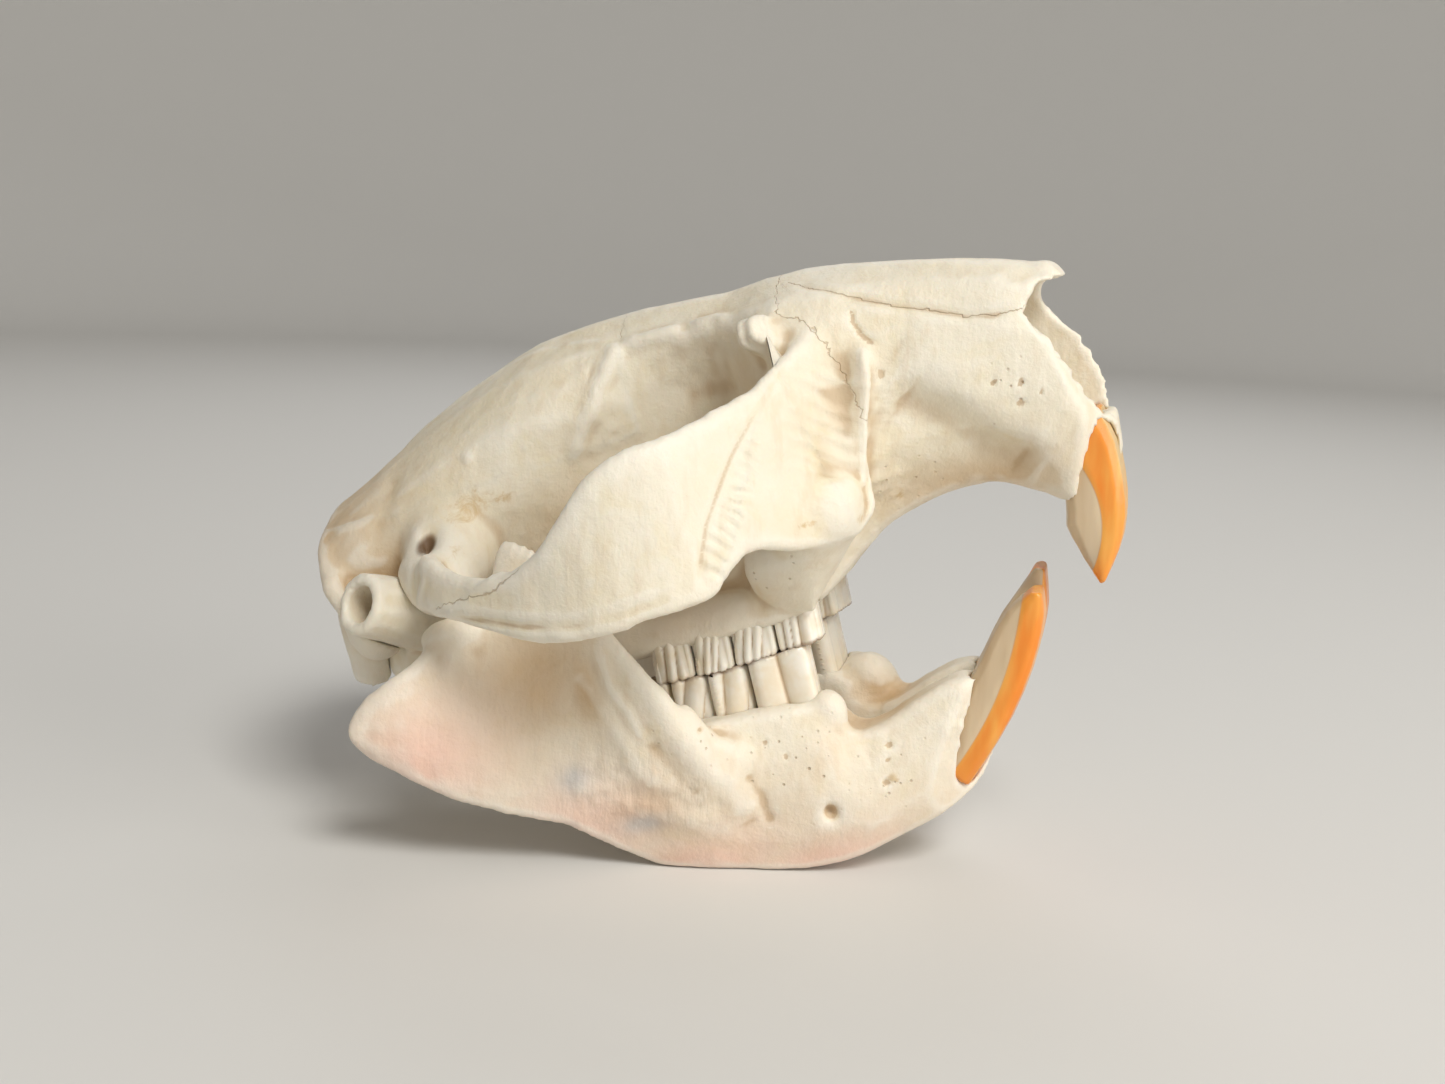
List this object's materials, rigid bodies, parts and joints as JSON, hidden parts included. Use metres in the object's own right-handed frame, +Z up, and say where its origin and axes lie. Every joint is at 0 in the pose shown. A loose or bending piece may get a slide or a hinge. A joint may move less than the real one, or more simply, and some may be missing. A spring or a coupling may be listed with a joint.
{
  "type": "beaver skull",
  "caption": "Life-size beaver skull with its lower jaw, curved orange-fronted incisors apart and ridged cheek teeth meeting, cheekbone arches, ear capsules and braincase.",
  "frame": {"origin": "centre of the skull's outline seen from above, on the surface that it rests on", "axes": "+X forward to the incisors, +Y to the animal's left, +Z up; the snout is raised 16 degrees, as it lies"},
  "size_m": [0.128, 0.0971, 0.0947],
  "materials": {
    "bone": "satin",
    "jaw_bone": "satin",
    "bulla_bone": "satin",
    "incisor": "gloss",
    "cheek_tooth": "gloss"
  },
  "bodies": {
    "root": {"braincase": "bone", "skull_roof": "bone", "snout": "bone", "cheekbone_L": "bone", "cheekbone_R": "bone", "ear_bulla_L": "bulla_bone", "ear_bulla_R": "bulla_bone", "mandible_L": "jaw_bone", "mandible_R": "jaw_bone", "upper_incisor_L": "incisor", "upper_incisor_R": "incisor", "lower_incisor_L": "incisor", "lower_incisor_R": "incisor", "upper_P4_L": "cheek_tooth", "upper_P4_R": "cheek_tooth", "upper_M1_L": "cheek_tooth", "upper_M1_R": "cheek_tooth", "upper_M2_L": "cheek_tooth", "upper_M2_R": "cheek_tooth", "upper_M3_L": "cheek_tooth", "upper_M3_R": "cheek_tooth", "lower_p4_L": "cheek_tooth", "lower_p4_R": "cheek_tooth", "lower_m1_L": "cheek_tooth", "lower_m1_R": "cheek_tooth", "lower_m2_L": "cheek_tooth", "lower_m2_R": "cheek_tooth", "lower_m3_L": "cheek_tooth", "lower_m3_R": "cheek_tooth"}
  },
  "joints": []
}
